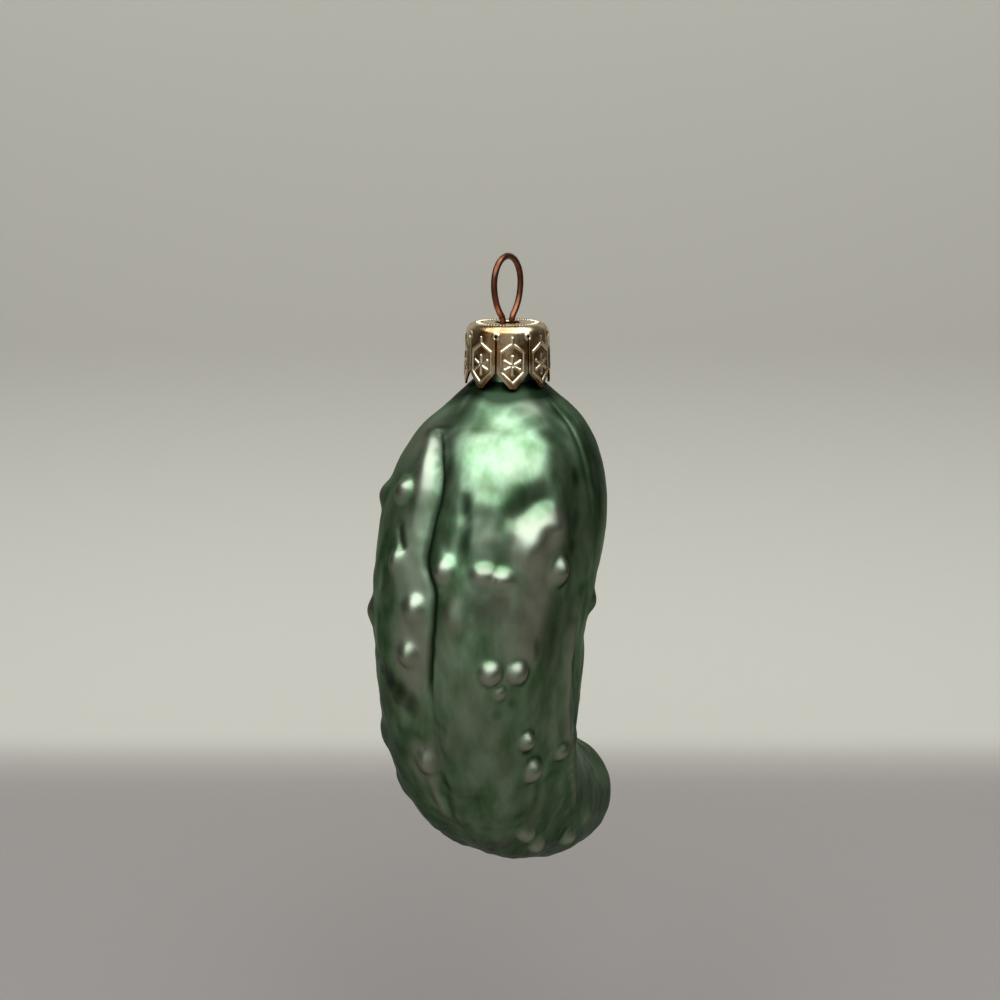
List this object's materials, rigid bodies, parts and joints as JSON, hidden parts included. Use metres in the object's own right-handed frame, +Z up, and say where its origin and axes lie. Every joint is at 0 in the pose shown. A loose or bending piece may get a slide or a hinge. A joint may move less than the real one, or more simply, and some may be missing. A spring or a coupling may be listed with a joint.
{
  "type": "pickle ornament",
  "caption": "Hollow blown-glass pickle ornament, curved, ribbed and warty, with a stamped crown cap and a sprung wire hanger whose loop hangs on a hook.",
  "frame": {"origin": "inside top of the hanger's loop, the point that rests on a hook", "axes": "+Z up, along the neck and cap; the loop and the pickle's bend lie in the XZ plane; +X is the way the tail curls; +Y runs through the loop as the hook does"},
  "size_m": [0.0518, 0.033, 0.1063],
  "materials": {
    "copper_wire": "drawn copper wire, a little tarnished",
    "gold_cap": "stamped sheet, bright pale gold",
    "lacquered_glass": "satin green lacquer over glass silvered inside"
  },
  "bodies": {
    "hanger": {"hanger_wire": "copper_wire"},
    "cap": {"crown_cap": "gold_cap"},
    "pickle": {"glass_pickle": "lacquered_glass"}
  },
  "joints": [
    {"name": "swivel", "type": "hinge", "parent": "hanger", "child": "cap", "pos_m": [0, 0, -0.0088], "axis": [0, 0, 1], "continuous": true},
    {"name": "pull_off", "type": "slide", "parent": "cap", "child": "pickle", "axis": [0, 0, -1], "range_m": [0, 0.015]}
  ]
}
